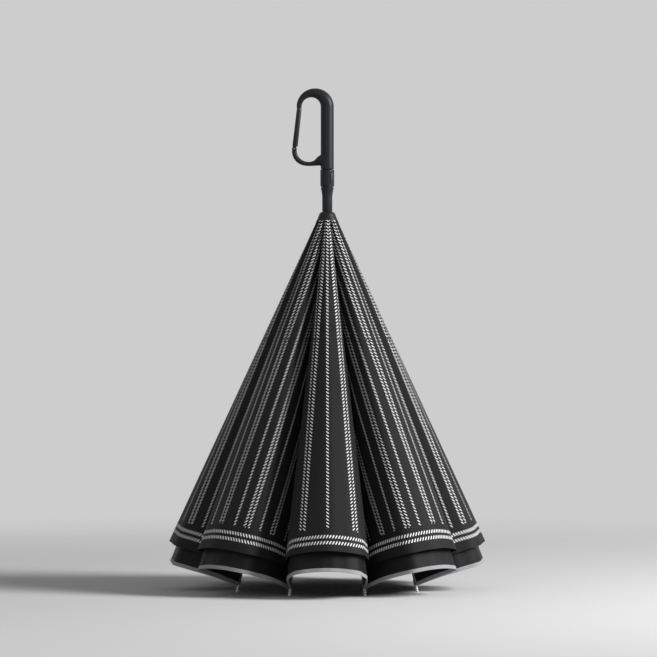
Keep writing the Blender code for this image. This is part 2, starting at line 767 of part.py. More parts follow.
def crest_columns(tucked):
    """From the fold to the middle of the panel, with or without the tuck under its other half."""
    path = half_panel_path[3:]
    shares = [path_share(line) for line in path]
    fold = inward_steps(SEAM / 2, fold_line, brow_line, fold_slack())
    if not tucked:
        middle = [level_step(crest_line, brow_line, SEAM / 2)] * 2
        return columns_along(path, shares, fold, middle)
    columns = columns_along(path + [tuck_line], shares + [shares[-1]], fold, [Vector((0, 0, 0))] * 2)
    slope = TUCK_WIDTH_SHARE / (1 - TUCK_REACH_SHARE)
    jog = inward_steps(SEAM / 2 + SEAM * slope, crest_line, brow_line, slope)
    columns[-2] = (*columns[-2][:3], jog)
    return columns


def make_canopy():
    """A flank and a crest on each side of each rib."""
    strips = {
        "flank_l": strip_mesh("flank_l", flank_columns(), False),
        "flank_r": strip_mesh("flank_r", flank_columns(), True),
        "crest_l": strip_mesh("crest_l", crest_columns(True), False),
        "crest_r": strip_mesh("crest_r", crest_columns(False), True),
    }
    for name, mesh in strips.items():
        spread_copies(name, mesh, 0, apex_height, name + "_fabric", FABRIC, 0.9)


make_handle_loop()
make_gate()
make_gate_pin()
make_collar()
make_button()
make_shaft()
make_rib_hub()
make_crown()
make_runner_sleeve()
make_runner_cap()
make_ribs()
make_stretchers()
make_canopy()
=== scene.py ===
import math

import bmesh
import bpy
from mathutils import Matrix, Vector


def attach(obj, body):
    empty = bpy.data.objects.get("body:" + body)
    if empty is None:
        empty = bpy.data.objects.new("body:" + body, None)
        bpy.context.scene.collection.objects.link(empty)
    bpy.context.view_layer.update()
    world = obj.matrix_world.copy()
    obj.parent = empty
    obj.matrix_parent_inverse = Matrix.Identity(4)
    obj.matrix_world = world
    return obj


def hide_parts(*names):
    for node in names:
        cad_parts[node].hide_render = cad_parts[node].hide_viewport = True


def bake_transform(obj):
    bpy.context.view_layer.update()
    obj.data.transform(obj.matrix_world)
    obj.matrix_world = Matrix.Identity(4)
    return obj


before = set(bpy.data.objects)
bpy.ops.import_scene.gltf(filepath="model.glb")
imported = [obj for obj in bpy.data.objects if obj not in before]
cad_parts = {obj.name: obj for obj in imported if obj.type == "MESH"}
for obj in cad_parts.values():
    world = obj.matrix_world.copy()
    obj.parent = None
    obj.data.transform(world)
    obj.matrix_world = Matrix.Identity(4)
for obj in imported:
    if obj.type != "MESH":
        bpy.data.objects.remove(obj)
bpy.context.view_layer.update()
scene = bpy.context.scene
scene.view_settings.view_transform = "Standard"

# Camera: from the front, far off and half a metre above the floor, tipped down by
# less than a degree, so that the umbrella shows upright and the floor at four degrees.
distance = 7.0
elevation = math.radians(0.73)
target = Vector((0.002, 0, 0.4156))
view_width = 1.0462
sensor_width = 36
camera_data = bpy.data.cameras.new("camera")
camera_data.lens = sensor_width * distance / view_width
camera_data.sensor_width = sensor_width
camera = bpy.data.objects.new("camera", camera_data)
scene.collection.objects.link(camera)
back = Vector((0, -math.cos(elevation), math.sin(elevation)))
camera.location = target + back * distance
camera.rotation_euler = back.to_track_quat("Z", "Y").to_euler()
scene.camera = camera


# Studio: a pale paper floor that fades out round the umbrella into a plain grey backdrop, a wide
# soft lamp from the right front, a weaker one from the left and a dim even sky.
def colour(code):
    """Linear colour, with alpha, of an sRGB hex value."""
    channels = [int(code[start:start + 2], 16) / 255 for start in (1, 3, 5)]
    linear = [c / 12.92 if c <= 0.04045 else ((c + 0.055) / 1.055) ** 2.4 for c in channels]
    return (*linear, 1)


def add(tree, kind, sockets, **settings):
    """Add a node with its settings, its values and its links; a node stands for its first output."""
    made = tree.nodes.new(kind)
    for name, value in settings.items():
        setattr(made, name, value)
    for name, value in sockets.items():
        if isinstance(value, bpy.types.Node):
            value = value.outputs[0]
        if isinstance(value, bpy.types.NodeSocket):
            tree.links.new(value, made.inputs[name])
        else:
            made.inputs[name].default_value = value
    return made


def new_piece(name, work, material=None):
    """Turn a finished bmesh into an object that wears the material."""
    mesh = bpy.data.meshes.new(name)
    work.to_mesh(mesh)
    work.free()
    made = bpy.data.objects.new(name, mesh)
    scene.collection.objects.link(made)
    if material:
        mesh.materials.append(material)
    mesh.shade_smooth()
    return made


world = bpy.data.worlds.new("studio")
scene.world = world
world.use_nodes = True
sky = world.node_tree
sky.nodes.clear()
path = add(sky, "ShaderNodeLightPath", {})
seen = path.outputs["Is Camera Ray"]
for ray in ("Is Glossy Ray", "Is Transmission Ray"):
    seen = add(sky, "ShaderNodeMath", {0: seen, 1: path.outputs[ray]}, operation="MAXIMUM")
lighting = add(sky, "ShaderNodeBackground", {"Color": colour("#ffffff"), "Strength": 0.2})
backdrop = add(sky, "ShaderNodeBackground", {"Color": colour("#cdcdcd"), "Strength": 1.0})
shown = add(sky, "ShaderNodeMixShader", {0: seen, 1: lighting, 2: backdrop})
add(sky, "ShaderNodeOutputWorld", {"Surface": shown})

floor_radius = 2.4
fade_start = 0.5
fade_end = 2.2
work = bmesh.new()
bmesh.ops.create_circle(work, cap_ends=True, cap_tris=True, segments=96, radius=floor_radius)
floor_paper = bpy.data.materials.new("studio_paper")
floor_paper.use_nodes = True
tree = floor_paper.node_tree
shader = tree.nodes["Principled BSDF"]
shader.inputs["Roughness"].default_value = 0.9
shader.inputs["Specular IOR Level"].default_value = 0.1
place = add(tree, "ShaderNodeTexCoord", {}).outputs["Object"]
grain = add(tree, "ShaderNodeTexNoise", {"Vector": place, "Scale": 140.0, "Detail": 4.0})
tone = add(tree, "ShaderNodeMix", {0: grain, 6: colour("#dcdcdc"), 7: colour("#e0e0e0")}, data_type="RGBA")
tree.links.new(tone.outputs[2], shader.inputs["Base Color"])
away = add(tree, "ShaderNodeVectorMath", {0: place}, operation="LENGTH")
fade = add(tree, "ShaderNodeMapRange", {"Value": away.outputs["Value"], "From Min": fade_start,
                                        "From Max": fade_end}, interpolation_type="SMOOTHSTEP")
clear = add(tree, "ShaderNodeBsdfTransparent", {})
faded = add(tree, "ShaderNodeMixShader", {0: fade, 1: shader, 2: clear})
tree.links.new(faded.outputs[0], tree.nodes["Material Output"].inputs["Surface"])
floor = new_piece("studio_floor", work, floor_paper)


lamp_aim = Vector((0, 0, 0.4))


def soft_lamp(name, place, size, power):
    """A square area lamp aimed at the canopy's middle."""
    data = bpy.data.lights.new(name, "AREA")
    data.shape = "SQUARE"
    data.size = size
    data.energy = power
    lamp = bpy.data.objects.new(name, data)
    scene.collection.objects.link(lamp)
    lamp.location = place
    lamp.rotation_euler = (Vector(place) - lamp_aim).to_track_quat("Z", "Y").to_euler()


soft_lamp("window_right", (3.1, -1.2, 1.9), 1.5, 195)
soft_lamp("fill_left", (-2.4, -2.9, 1.8), 2.4, 12)


# Handle loop: one glass-filled nylon moulding, a round grip whose top bends over into a
# tapering arc, and a lower arm that blends into the grip and carries the gate's pivot.
grip_radius = 0.0106
handle_base = 0.6686
arc_height = 0.7684
ring_radius = 0.022
hook_turn = math.radians(173)
hook_run = 0.006
arc_centre = Vector((-ring_radius, 0, arc_height))
gate_down = Vector((-math.sin(hook_turn), 0, math.cos(hook_turn)))
gate_length = 0.064
gate_seam = 0.0003
hook_side = Vector((math.cos(hook_turn), 0, math.sin(hook_turn)))
hook_end = arc_centre + hook_side * ring_radius + gate_down * hook_run
gate_pivot = hook_end + gate_down * (gate_seam + gate_length)
merge_distance = 0.00001


def moulded_plastic(name, code, roughness, grain_mm, relief=0.12):
    """Moulded nylon: near black, with the fine spark-eroded grain of the mould and a broad dull shine."""
    made = bpy.data.materials.new(name)
    made.use_nodes = True
    tree = made.node_tree
    shader = tree.nodes["Principled BSDF"]
    place = add(tree, "ShaderNodeTexCoord", {}).outputs["Object"]
    fine = add(tree, "ShaderNodeTexNoise", {"Vector": place, "Scale": 1000 / grain_mm, "Detail": 3.0})
    cloud = add(tree, "ShaderNodeTexNoise", {"Vector": place, "Scale": 90.0, "Detail": 3.0})
    base = add(tree, "ShaderNodeMix", {0: cloud, 6: colour(code[0]), 7: colour(code[1])}, data_type="RGBA")
    tree.links.new(base.outputs[2], shader.inputs["Base Color"])
    rough = add(tree, "ShaderNodeMapRange", {"Value": cloud, "To Min": roughness - 0.05,
                                             "To Max": roughness + 0.06})
    tree.links.new(rough.outputs[0], shader.inputs["Roughness"])
    bump = add(tree, "ShaderNodeBump", {"Height": fine, "Strength": relief, "Distance": 0.0002})
    tree.links.new(bump.outputs[0], shader.inputs["Normal"])
    shader.inputs["Specular IOR Level"].default_value = 0.2
    return made


def swept(name, points, radii, sides=24):
    """A round bar along points, its radius given at each, with rounded ends."""
    line = bpy.data.curves.new(name, "CURVE")
    line.dimensions = "3D"
    line.bevel_depth = max(radii)
    line.bevel_resolution = sides // 4
    line.use_fill_caps = True
    spline = line.splines.new("POLY")
    spline.points.add(len(points) - 1)
    for knot, point, radius in zip(spline.points, points, radii):
        knot.co = (*point, 1)
        knot.radius = radius / max(radii)
    drawn = bpy.data.objects.new(name, line)
    scene.collection.objects.link(drawn)
    bpy.context.view_layer.update()
    mesh = bpy.data.meshes.new_from_object(drawn.evaluated_get(bpy.context.evaluated_depsgraph_get()))
    bpy.data.objects.remove(drawn)
    work = bmesh.new()
    work.from_mesh(mesh)
    bmesh.ops.remove_doubles(work, verts=work.verts, dist=merge_distance)
    bmesh.ops.recalc_face_normals(work, faces=work.faces)
    return work


def settle(piece):
    """Replace a piece's mesh with what its modifiers make of it."""
    bpy.context.view_layer.update()
    mesh = bpy.data.meshes.new_from_object(piece.evaluated_get(bpy.context.evaluated_depsgraph_get()))
    piece.modifiers.clear()
    piece.data = mesh
    return piece


def cut(piece, cutter):
    """Cut a piece with another, which is used up."""
    change = piece.modifiers.new("cut", "BOOLEAN")
    change.operation = "DIFFERENCE"
    change.object = cutter
    settle(piece)
    bpy.data.objects.remove(cutter)
    return piece


foot_round = 0.0009
hook_radius = 0.0042
hook_end_radius = 0.0039
hook_end_shift = 0.0003
arc_shift = 0.0008
straight_steps = 9
arc_steps = 40
bar = [(Vector((0, 0, handle_base)), grip_radius - foot_round),
       (Vector((0, 0, handle_base + foot_round)), grip_radius)]
for step in range(1, straight_steps):
    height = handle_base + (arc_height - handle_base) * step / straight_steps
    bar.append((Vector((0, 0, height)), grip_radius))
for step in range(arc_steps + 1):
    turn = hook_turn * step / arc_steps
    far = (1 - math.cos(turn)) / 2
    around = arc_centre + Vector((math.cos(turn), 0, math.sin(turn))) * ring_radius
    bar.append((around - Vector((arc_shift * far, 0, 0)), grip_radius + (hook_radius - grip_radius) * far))
bar.append((hook_end - Vector((hook_end_shift, 0, 0)), hook_end_radius))
grip = swept("grip", [point for point, radius in bar], [radius for point, radius in bar])


def smooth_run(marks, steps=6):
    """Points and radii on one smooth curve through marks of (x, z, radius) in millimetres."""
    run = []
    rows = [marks[0], *marks, marks[-1]]
    for before, near, far, after in zip(rows, rows[1:], rows[2:], rows[3:]):
        for step in range(steps):
            t = step / steps
            run.append([0.5 * (2 * b + (c - a) * t + (2 * a - 5 * b + 4 * c - d) * t * t
                               + (3 * b - a - 3 * c + d) * t ** 3)
                        for a, b, c, d in zip(before, near, far, after)])
    run.append(list(marks[-1]))
    return [Vector((x, 0, z)) / 1000 for x, z, radius in run], [radius / 1000 for x, z, radius in run]


arm_marks = [(-2, 686, 10), (-8, 683.6, 8.9), (-13, 681.6, 7.4), (-17.5, 679.6, 5.3),
             (-22.5, 678.2, 3.9), (-29, 677.5, 3.45), (-35, 678.1, 3.55), (-40.4, 679.7, 3.8),
             (-45.3, 682.9, 4.05), (-49.1, 687.2, 4.15), (-51.3, 692, 4.1), (-52.3, 697, 4.05),
             (-52.5, 701.3, 4.0)]
elbow = swept("elbow", *smooth_run(arm_marks))

loop_nylon = moulded_plastic("glass_filled_nylon_moulded", ("#1e1f21", "#242527"), 0.42, 0.5)
boss_radius = 0.0040
boss_width = 0.0076
across_pivot = Matrix.Translation(gate_pivot) @ Matrix.Rotation(math.pi / 2, 4, "X")
work = bmesh.new()
bmesh.ops.create_cone(work, cap_ends=True, segments=48, radius1=boss_radius, radius2=boss_radius,
                      depth=boss_width, matrix=across_pivot)
for part in (grip, elbow):
    mesh = bpy.data.meshes.new("part")
    part.to_mesh(mesh)
    part.free()
    work.from_mesh(mesh)
    bpy.data.meshes.remove(mesh)
handle_loop = new_piece("loop_moulding", work)
change = handle_loop.modifiers.new("weld", "REMESH")
change.mode = "VOXEL"
change.voxel_size = 0.0006
change = handle_loop.modifiers.new("ease", "SMOOTH")
change.factor = 0.5
change.iterations = 14
settle(handle_loop)
slot_size = (0.0140, 0.0034, 0.0104)
slot_rise = 0.0017
bore_radius = 0.0012
bore_length = 0.02
foot_block = 0.05
work = bmesh.new()
bmesh.ops.create_cube(work, size=1, matrix=Matrix.Translation(gate_pivot + Vector((0, 0, slot_rise)))
                      @ Matrix.Diagonal((*slot_size, 1)))
cut(handle_loop, new_piece("slot", work))
work = bmesh.new()
bmesh.ops.create_cone(work, cap_ends=True, segments=32, radius1=bore_radius, radius2=bore_radius,
                      depth=bore_length, matrix=across_pivot)
cut(handle_loop, new_piece("bore", work))
work = bmesh.new()
bmesh.ops.create_cube(work, size=foot_block, matrix=Matrix.Translation((0, 0, handle_base - foot_block / 2)))
cut(handle_loop, new_piece("foot", work))
handle_loop.data.materials.clear()
handle_loop.data.materials.append(loop_nylon)
handle_loop.data.shade_smooth()
handle_loop.data.set_sharp_from_angle(angle=math.radians(45))
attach(handle_loop, "handle")
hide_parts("handle_loop")


# Gate: a straight nylon bar with an eased free end and a flat tongue in the arm's fork,
# turning on a steel pin. It widens slightly towards the pin.
to_gate = Matrix.Translation(gate_pivot) @ Matrix.Rotation(math.atan2(-gate_down.x, -gate_down.z), 4, "Y")
gate_radius = 0.0039
gate_swell = 0.1
gate_shift = 0.0006
tongue_thickness = 0.0028
tongue_size = (0.0060, tongue_thickness, 0.0068)
tongue_height = 0.0030
eye_radius = 0.0032


def turned(outline, segments=96):
    """A bmesh turned about the upright axis from an outline of (radius, height) points."""
    work = bmesh.new()
    profile = [work.verts.new((radius, 0, height)) for radius, height in outline]
    edges = [work.edges.new(pair) for pair in zip(profile, profile[1:])]
    bmesh.ops.spin(work, geom=profile + edges, cent=(0, 0, 0), axis=(0, 0, 1), angle=math.tau,
                   steps=segments, use_merge=True)
    bmesh.ops.remove_doubles(work, verts=work.verts, dist=merge_distance)
    bmesh.ops.recalc_face_normals(work, faces=work.faces)
    return work


outline = [(0, gate_length), (gate_radius - 0.0007, gate_length),
           (gate_radius - 0.0002, gate_length - 0.0002), (gate_radius, gate_length - 0.0007),
           (gate_radius, 0.0054), (gate_radius - 0.0002, 0.0048), (gate_radius - 0.0007, 0.0044),
           (0, 0.0043)]
work = turned(outline, 48)
for vertex in work.verts:
    low = 1 - vertex.co.z / gate_length
    vertex.co.x = vertex.co.x * (1 + gate_swell * low) + gate_shift * low
bmesh.ops.create_cube(work, size=1, matrix=Matrix.Translation((0, 0, tongue_height))
                      @ Matrix.Diagonal((*tongue_size, 1)))
bmesh.ops.create_cone(work, cap_ends=True, segments=40, radius1=eye_radius, radius2=eye_radius,
                      depth=tongue_thickness, matrix=Matrix.Rotation(math.pi / 2, 4, "X"))
bmesh.ops.transform(work, verts=work.verts, matrix=to_gate)
gate = new_piece("gate_bar", work, loop_nylon)
gate.data.set_sharp_from_angle(angle=math.radians(40))
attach(gate, "gate")
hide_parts("gate")


def metal(name, metallic, code, grain, detail, roughness):
    """A metal finish whose colour and roughness vary together with one fine grain."""
    made = bpy.data.materials.new(name)
    made.use_nodes = True
    tree = made.node_tree
    shader = tree.nodes["Principled BSDF"]
    shader.inputs["Metallic"].default_value = metallic
    place = add(tree, "ShaderNodeTexCoord", {}).outputs["Object"]
    wear = add(tree, "ShaderNodeTexNoise", {"Vector": place, "Scale": grain, "Detail": detail})
    tone = add(tree, "ShaderNodeMix", {0: wear, 6: colour(code[0]), 7: colour(code[1])}, data_type="RGBA")
    tree.links.new(tone.outputs[2], shader.inputs["Base Color"])
    rough = add(tree, "ShaderNodeMapRange", {"Value": wear, "To Min": roughness[0], "To Max": roughness[1]})
    tree.links.new(rough.outputs[0], shader.inputs["Roughness"])
    return made


pin_steel = metal("stainless_pin_drawn", 1.0, ("#8e9094", "#a9abaf"), 2500.0, 2.0, (0.25, 0.4))


def dress(node, material):
    """Give a CAD node that stays its material."""
    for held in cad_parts[node].material_slots:
        held.material = material


dress("gate_pin", pin_steel)


# Collar: a turned nylon ring fixed on the shaft under the loop, with a stepped foot, a fine
# groove near its top and a pocket for the push button.
collar_radius = 0.0111
collar_bottom = 0.6403
collar_top = 0.6683
button_bearing = math.radians(-47)


def stadium(width, height, depth, front, edge):
    """An upright plate with round ends, facing the button's way, its front off the shaft's axis."""
    work = bmesh.new()
    bmesh.ops.create_cube(work, size=1, matrix=Matrix.Diagonal((depth, width, height, 1)))
    along = [e for e in work.edges if abs(e.verts[0].co.x - e.verts[1].co.x) > depth / 2]
    bmesh.ops.bevel(work, geom=along, offset=width / 2 - 0.00001, segments=10, profile=0.5, affect="EDGES",
                    material=-1)
    bmesh.ops.remove_doubles(work, verts=work.verts, dist=0.00003)
    if edge:
        rim = [e for e in work.edges if min(v.co.x for v in e.verts) > depth / 2 - 0.00001]
        bmesh.ops.bevel(work, geom=rim, offset=edge, segments=3, profile=0.5, affect="EDGES", material=-1)
    place = Matrix.Rotation(button_bearing, 4, "Z") @ Matrix.Translation(
        (front - depth / 2, 0, (collar_bottom + collar_top) / 2))
    bmesh.ops.transform(work, verts=work.verts, matrix=place)
    return work


shaft_bore = 0.0048
foot_radius = 0.0096
groove_radius = 0.01085
shell = [(shaft_bore, collar_top), (collar_radius - 0.0010, collar_top),
         (collar_radius - 0.0003, collar_top - 0.0001), (collar_radius, collar_top - 0.0006),
         (collar_radius, collar_top - 0.0019), (groove_radius, collar_top - 0.0021),
         (groove_radius, collar_top - 0.0024), (collar_radius, collar_top - 0.0026),
         (collar_radius, collar_bottom + 0.0023), (collar_radius - 0.0003, collar_bottom + 0.0019),
         (foot_radius, collar_bottom + 0.0017), (foot_radius, collar_bottom),
         (shaft_bore, collar_bottom), (shaft_bore, collar_top)]
collar_nylon = moulded_plastic("nylon_turned", ("#1d1e20", "#232426"), 0.40, 0.6)
collar = new_piece("collar_ring", turned(shell), collar_nylon)
cut(collar, new_piece("pocket", stadium(0.0066, 0.0204, 0.0085, collar_radius + 0.0039, 0)))
collar.data.set_sharp_from_angle(angle=math.radians(35))
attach(collar, "handle")
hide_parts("collar")


# Push button: a small moulded plate with round ends and eased edges, slightly glossier
# than the collar, that stands a little proud of its pocket.
button = stadium(0.0060, 0.0198, 0.0040, collar_radius + 0.0009, 0.0006)
button_nylon = moulded_plastic("acetal_button_moulded", ("#28292c", "#2e2f32"), 0.30, 0.9)
push_button = new_piece("button_cap", button, button_nylon)
push_button.data.set_sharp_from_angle(angle=math.radians(50))
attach(push_button, "button")
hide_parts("push_button")


# Runner sleeve and cap: two turned nylon parts that slide together on the shaft. The sleeve
# narrows in a hollow curve to a straight neck, and the cap flares over the canopy's top edge.
sleeve_top = 0.6400
neck_top = 0.6232
neck_bottom = 0.6021
cap_top = 0.6018
rim_height = 0.5880
neck_radius = 0.0081
sleeve_radius = 0.0104
sleeve_land = 0.0012
sleeve_steps = 12
outline = [(shaft_bore, sleeve_top), (sleeve_radius - 0.0003, sleeve_top),
           (sleeve_radius, sleeve_top - 0.0003), (sleeve_radius, sleeve_top - sleeve_land)]
for step in range(1, sleeve_steps + 1):
    share = step / sleeve_steps
    outline.append((neck_radius + (sleeve_radius - neck_radius) * (1 - share) ** 1.9,
                    sleeve_top - sleeve_land - (sleeve_top - sleeve_land - neck_top) * share))
outline += [(neck_radius, neck_bottom + 0.0004), (neck_radius - 0.0002, neck_bottom),
            (shaft_bore, neck_bottom), (shaft_bore, sleeve_top)]
sleeve_nylon = moulded_plastic("nylon_sleeve_turned", ("#1e1f21", "#242527"), 0.40, 0.6)
sleeve = new_piece("runner_sleeve_turned", turned(outline), sleeve_nylon)
sleeve.data.set_sharp_from_angle(angle=math.radians(35))
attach(sleeve, "runner")
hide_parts("runner_sleeve")

cap_bore = 0.0062
cap_wall = 0.0022
rim_radius = 0.0164
outline = [(cap_bore, cap_top - cap_wall), (cap_bore, cap_top), (neck_radius - 0.0002, cap_top),
           (neck_radius, cap_top - 0.0003), (0.0092, cap_top - 0.0007), (0.0106, cap_top - 0.0015),
           (0.0119, cap_top - 0.0027), (0.0127, cap_top - 0.0040), (0.0134, cap_top - 0.0060),
           (0.0143, cap_top - 0.0085), (0.0153, rim_height + 0.0032), (0.0161, rim_height + 0.0011),
           (rim_radius, rim_height + 0.0004), (rim_radius, rim_height + 0.0001), (0.0162, rim_height),
           (0.0155, rim_height), (0.0120, rim_height + 0.0075), (neck_radius, cap_top - cap_wall),
           (cap_bore, cap_top - cap_wall)]
cap_nylon = moulded_plastic("nylon_cap_grained", ("#1a1b1d", "#232426"), 0.45, 2.2, 0.6)
cap = new_piece("runner_cap_turned", turned(outline), cap_nylon)
cap.data.set_sharp_from_angle(angle=math.radians(35))
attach(cap, "runner")
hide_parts("runner_cap")


# Shaft: a drawn steel tube, painted satin black, seen where the runner has left it and
# from below when the umbrella is open. Faint lengthwise marks show where the runner slides.
paint = bpy.data.materials.new("steel_tube_painted")
paint.use_nodes = True
tree = paint.node_tree
shader = tree.nodes["Principled BSDF"]
place = add(tree, "ShaderNodeTexCoord", {}).outputs["Object"]
stretched = add(tree, "ShaderNodeMapping", {"Vector": place, "Scale": (1.0, 1.0, 0.02)})
rubbed = add(tree, "ShaderNodeTexNoise", {"Vector": stretched, "Scale": 900.0, "Detail": 3.0})
tone = add(tree, "ShaderNodeMix", {0: rubbed, 6: colour("#1d1e20"), 7: colour("#2c2d30")}, data_type="RGBA")
tree.links.new(tone.outputs[2], shader.inputs["Base Color"])
rough = add(tree, "ShaderNodeMapRange", {"Value": rubbed, "To Min": 0.25, "To Max": 0.42})
tree.links.new(rough.outputs[0], shader.inputs["Roughness"])
shader.inputs["Coat Weight"].default_value = 0.3
dress("shaft", paint)

# Hubs: the runner's rib ring and the fixed crown, moulded in nylon, each with a wire ring
# on which the levers turn. They stay as the frame has them.
hub_nylon = moulded_plastic("nylon_hub_moulded", ("#1f2022", "#27282a"), 0.5, 0.8)
dress("rib_hub", hub_nylon)
dress("crown", hub_nylon)
dress("rib_ring", pin_steel)
dress("crown_ring", pin_steel)


# Ribs and stretchers: round steel wire, black-oxide finished, slightly mottled and worn
# to grey. They stay as the frame has them.
wire = metal("steel_wire_black_oxide", 0.85, ("#2b2c2f", "#55575b"), 420.0, 4.0, (0.32, 0.5))
rib_reach = 0.146
rib_height = 0.5829
rib_angle = math.atan2(rib_reach, rib_height)
rib_bearings = [math.radians(22.5 + 45 * number) for number in range(8)]
for number in range(8):
    dress(f"rib_{number + 1}", wire)
    dress(f"stretcher_{number + 1}", wire)

# Rib tips: nickel-plated brass caps pressed on the ribs' ends, turned with four grooves
# that hold the canopy's corner stitches, and flat where the umbrella stands on them.
plate = metal("brass_nickel_plated", 0.3, ("#e4e5e6", "#f6f6f6"), 1300.0, 2.0, (0.28, 0.42))
tip_length = 0.0112
tip_circle = 0.154
ridge_radius = 0.0024
tip_groove_radius = 0.0018
groove_pitch = 0.0026
for number, bearing in enumerate(rib_bearings):
    outline = [(tip_groove_radius, tip_length + 0.0006), (0.0023, tip_length)]
    for ring in range(4):
        top = tip_length - 0.0006 - ring * groove_pitch
        outline += [(ridge_radius, top), (ridge_radius, top - 0.0011), (tip_groove_radius, top - 0.0015),
                    (tip_groove_radius, top - 0.0021)]
    outline += [(0.00225, 0.0003), (0.00225, -0.0012)]
    work = turned(outline, 24)
    stand = Matrix.Rotation(bearing, 4, "Z") @ Matrix.Translation((tip_circle, 0, 0))
    bmesh.ops.transform(work, verts=work.verts, matrix=stand @ Matrix.Rotation(-rib_angle, 4, "Y"))
    bmesh.ops.bisect_plane(work, geom=[*work.verts, *work.edges, *work.faces], plane_co=(0, 0, 0),
                           plane_no=(0, 0, -1), clear_outer=True)
    tip = new_piece(f"rib_tip_{number + 1}", work, plate)
    tip.data.set_sharp_from_angle(angle=math.radians(40))
    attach(tip, f"rib_{number + 1}")


# Printed canopy: eight gores of near-black pongee, printed with dashed lines that run from the
# runner to the hem and with two dashed rings above the hem. Folded, it is the outer layer: each
# gore stands out between its ribs as a rounded lobe: two half gores and a tuck folded under one.
apex_height = 0.62266
crest_slope = 0.45911
rib_out = 0.2314
rib_side = 0.0958
canopy_start = 0.5843
crest_hem = 0.0771
hem_drop = 0.0395
start_depth = apex_height - canopy_start
hem_depth = apex_height - crest_hem
tuck_arc = 0.187


def lobe_section():
    """The half gore's line at unit depth: (outward, aside, arc length) from the crest to the rib."""
    line = []
    for step in range(49):
        turn = math.pi / 2 * step / 48
        line.append(Vector((crest_slope * (0.768 + 0.232 * math.cos(turn) ** 0.87),
                            crest_slope * 0.2472 * math.sin(turn) ** 0.87)))
    side = line[-1]
    valley = Vector((rib_out, rib_side))
    pull = [side, side + Vector((-0.042, 0)), valley + Vector((0.040, 0.016)), valley]
    for step in range(1, 25):
        t = step / 24
        weights = ((1 - t) ** 3, 3 * t * (1 - t) ** 2, 3 * t * t * (1 - t), t ** 3)
        line.append(sum((point * weight for point, weight in zip(pull, weights)), Vector((0, 0))))
    lengths = [0]
    for near, far in zip(line, line[1:]):
        lengths.append(lengths[-1] + (far - near).length)
    return line, lengths


section, section_lengths = lobe_section()
half_arc = section_lengths[-1]


def on_section(share):
    """Point and outward normal of the line at a share of its length from the crest."""
    run = min(max(share, 0), 1) * half_arc
    place = 1
    while place < len(section) - 1 and section_lengths[place] < run:
        place += 1
    near, far = section[place - 1], section[place]
    part = (run - section_lengths[place - 1]) / (section_lengths[place] - section_lengths[place - 1])
    along = (far - near).normalized()
    return near.lerp(far, part), Vector((along.y, -along.x))


def soft_wave(panel, signed_share):
    """Height, for each unit of depth, of the shallow lengthwise waves in a gore's cloth."""
    fade = 1 - abs(signed_share) ** 3
    lean = 0.6 * math.sin(2.1 * panel)
    return fade * (0.0026 * math.cos(18.5 * signed_share + lean)
                   + 0.0012 * math.sin(31 * signed_share + 1.3 * panel) * signed_share)


tuck_edge = Vector((crest_slope * 0.66, crest_slope * 0.222))
tuck_sag = 0.030


def cloth_point(panel, signed_share, depth, inward):
    """Where a gore's cloth is: signed_share is -1 at its rib, 0 at its crest and 1 at the next rib.

    Past 1 it runs on from the crest along the tuck that lies folded under the other half."""
    tuck = max(signed_share - 1, 0)
    if tuck:
        crest, normal = on_section(0)
        point = crest.lerp(tuck_edge, tuck) + normal * (soft_wave(panel, 0) * (1 - tuck) - inward / depth)
        point.x -= tuck_sag * tuck * (1 - tuck) * depth / hem_depth
        aside = point.y
    else:
        point, normal = on_section(abs(signed_share))
        point = point + normal * (soft_wave(panel, signed_share) - inward / depth)
        aside = math.copysign(point.y, signed_share)
    bearing = math.radians(45 * panel)
    out = Vector((math.cos(bearing), math.sin(bearing), 0))
    side = Vector((-math.sin(bearing), math.cos(bearing), 0))
    return Vector((0, 0, apex_height - depth)) + (out * point.x + side * aside) * depth


def printed_hem(share):
    """Height above the floor of the printed layer's hem at a share of the way from crest to rib."""
    return crest_hem - hem_drop * share ** 1.65


# The print's lines are numbered across a gore: even ones single, odd ones in pairs. Each row gives
# a line's share at the hem, its number, and how far it drifts towards the rib on its way up: the
# gores beside the front one lie turned, so their lines run off over the seam instead of meeting.
regular_print = [(-1, -4.6, -0.4), (-0.93, -4, -0.32), (-0.82, -3, -0.22), (-0.66, -2, -0.1),
                 (-0.262, -1, -0.02), (0.004, 0, 0), (0.301, 1, 0.02), (0.66, 2, 0.1),
                 (0.82, 3, 0.22), (0.93, 4, 0.32), (1, 4.6, 0.4)]
turned_print = [(-1, -4.6, 0), (-0.72, -4, 0), (-0.44, -3, 0.02), (-0.18, -2, 0.048),
                (-0.006, -1, 0.1), (0.158, 0, 0.18), (0.289, 1, 0.28), (0.431, 2, 0.42),
                (0.59, 3, 0.64), (0.80, 4, 0.9), (1, 4.6, 1.15)]
side_print = [(-1, -4.6, -0.4), (-0.8, -4, -0.36), (-0.55, -3, -0.3), (-0.3, -2, -0.22),
              (-0.06, -1, -0.14), (0.19, 0, -0.08), (0.353, 1, -0.06), (0.50, 2, 0.02),
              (0.66, 3, 0.12), (0.86, 4, 0.25), (1, 4.6, 0.35)]
mirrored = {7: turned_print, 8: side_print}
prints = {5: turned_print, 4: side_print}
tuck_lines = 1.6


